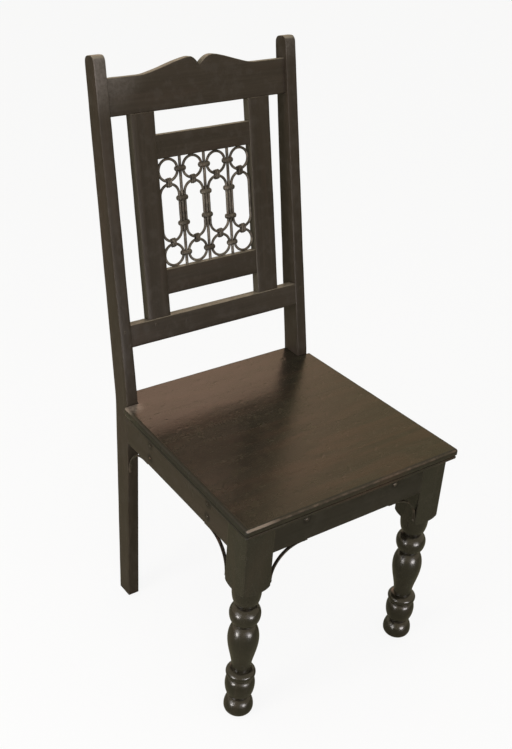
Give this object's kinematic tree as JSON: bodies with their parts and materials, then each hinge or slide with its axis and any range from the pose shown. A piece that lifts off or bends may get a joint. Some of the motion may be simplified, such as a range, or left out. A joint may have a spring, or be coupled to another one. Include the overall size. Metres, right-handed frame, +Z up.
{
  "type": "dining chair",
  "caption": "High-backed dark wooden dining chair with turned front legs, a moulded plank seat and a wrought-iron ring grille in its back.",
  "frame": {"origin": "on the floor, at the centre of the overall bounding box seen from above", "axes": "+Z up, -Y to the front of the chair (where the sitter's feet go), +X to the right seen from the front"},
  "size_m": [0.4736, 0.5782, 1.0742],
  "materials": {
    "frame_wood": "near-black brown stained hardwood, semi-gloss, worn and lit along the edges",
    "seat_wood": "dark brown stained boards with reddish streaks, semi-gloss",
    "peg_wood": "end-grain pegs, dark stained",
    "grille_iron": "wrought iron, dark grey-brown, waxed and lightly rusted",
    "strap_iron": "forged strap, dark, with bright worn edges",
    "nail_iron": "forged nails and screws, dark"
  },
  "bodies": {
    "root": {"apron_front": "frame_wood", "apron_left": "frame_wood", "apron_nails": "nail_iron", "apron_rear": "frame_wood", "apron_right": "frame_wood", "back_stile_left": "frame_wood", "back_stile_right": "frame_wood", "bracket_front_left": "strap_iron", "bracket_front_right": "strap_iron", "bracket_left_front": "strap_iron", "bracket_left_rear": "strap_iron", "bracket_nails": "nail_iron", "bracket_rear_left": "strap_iron", "bracket_rear_right": "strap_iron", "bracket_right_front": "strap_iron", "bracket_right_rear": "strap_iron", "crest_rail": "frame_wood", "draw_pegs": "peg_wood", "front_leg_left": "frame_wood", "front_leg_right": "frame_wood", "grille_collars": "grille_iron", "grille_knots": "grille_iron", "grille_loop_1": "grille_iron", "grille_loop_2": "grille_iron", "grille_loop_3": "grille_iron", "grille_loop_4": "grille_iron", "grille_ring_bottom_1": "grille_iron", "grille_ring_bottom_2": "grille_iron", "grille_ring_bottom_3": "grille_iron", "grille_ring_bottom_4": "grille_iron", "grille_ring_top_1": "grille_iron", "grille_ring_top_2": "grille_iron", "grille_ring_top_3": "grille_iron", "grille_ring_top_4": "grille_iron", "grille_rod_1": "grille_iron", "grille_rod_2": "grille_iron", "grille_rod_3": "grille_iron", "lower_back_rail": "frame_wood", "panel_rail_lower": "frame_wood", "panel_rail_upper": "frame_wood", "rear_post_left": "frame_wood", "rear_post_right": "frame_wood", "seat_bearer_front": "frame_wood", "seat_bearer_rear": "frame_wood", "seat_board_1": "seat_wood", "seat_board_2": "seat_wood", "seat_board_3": "seat_wood", "seat_board_4": "seat_wood", "seat_board_5": "seat_wood", "seat_screws": "nail_iron"}
  },
  "joints": []
}
